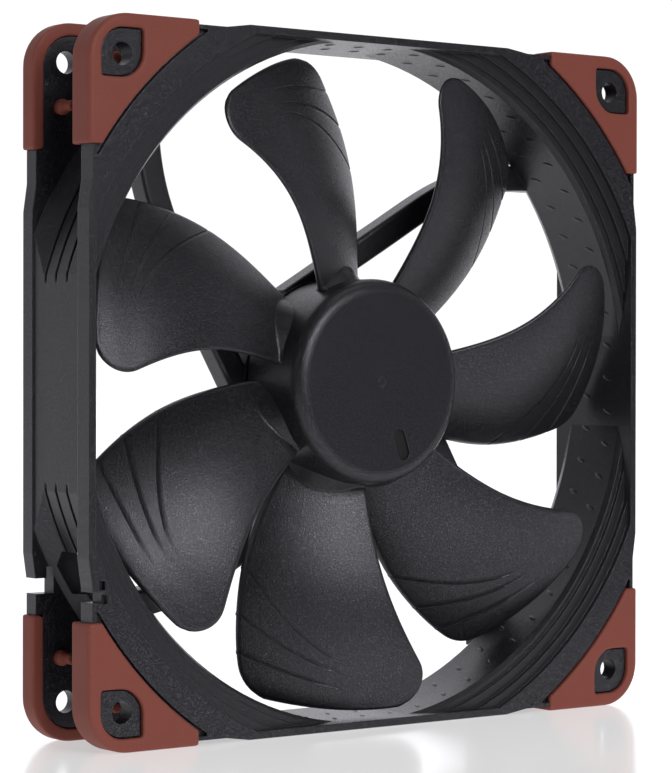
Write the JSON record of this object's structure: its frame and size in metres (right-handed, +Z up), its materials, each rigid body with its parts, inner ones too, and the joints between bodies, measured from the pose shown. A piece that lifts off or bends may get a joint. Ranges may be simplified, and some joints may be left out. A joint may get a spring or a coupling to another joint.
{
  "type": "case fan",
  "caption": "Square axial case fan with a seven-bladed impeller on a central motor, a four-strut frame and rubber corner pads.",
  "frame": {"origin": "on the spin axis, halfway through the depth, which is the centre of the bounding box", "axes": "+Z up with the fan standing on edge, +Y along the air flow from the intake face to the exhaust face, +X to the right seen from the intake side"},
  "size_m": [0.14, 0.025, 0.14],
  "materials": {
    "frame_plastic": "black glass-filled plastic with a fine sparkle",
    "impeller_plastic": "black glass-filled plastic with a fine sparkle",
    "pad_rubber": "matt brown-red silicone rubber",
    "steel": "drawn steel",
    "shaft_steel": "ground steel",
    "magnet": "bonded ferrite",
    "brass": "turned brass",
    "sintered_bronze": "porous sintered bronze",
    "clip_plastic": "natural nylon",
    "seal_plastic": "black rubber",
    "lamination": "stacked silicon steel sheets",
    "insulator_plastic": "natural moulded nylon",
    "copper": "enamelled copper wire",
    "pin_metal": "tinned pins",
    "board": "green solder mask",
    "chip": "moulded epoxy",
    "ceramic": "ceramic chip parts",
    "label": "blank dark film"
  },
  "bodies": {
    "stator": {"axial_magnet": "magnet", "bearing_shell": "brass", "bearing_sleeve": "sintered_bronze", "board_parts": "ceramic", "circuit_board": "board", "driver_chip": "chip", "frame": "frame_plastic", "hall_sensor": "chip", "oil_seal": "seal_plastic", "pad_front_bottom_left": "pad_rubber", "pad_front_bottom_right": "pad_rubber", "pad_front_top_left": "pad_rubber", "pad_front_top_right": "pad_rubber", "pad_rear_bottom_left": "pad_rubber", "pad_rear_bottom_right": "pad_rubber", "pad_rear_top_left": "pad_rubber", "pad_rear_top_right": "pad_rubber", "rear_label": "label", "stator_coils": "copper", "stator_core": "lamination", "stator_insulator_front": "insulator_plastic", "stator_insulator_rear": "insulator_plastic", "thrust_plate": "clip_plastic", "winding_pins": "pin_metal"},
    "rotor": {"impeller": "impeller_plastic", "rotor_yoke": "steel", "rotor_magnet": "magnet", "shaft_bush": "brass", "shaft": "shaft_steel", "retaining_clip": "clip_plastic"}
  },
  "joints": [
    {"name": "impeller_spin", "type": "hinge", "parent": "stator", "child": "rotor", "pos_m": [0, 0, 0], "axis": [0, -1, 0], "continuous": true}
  ]
}
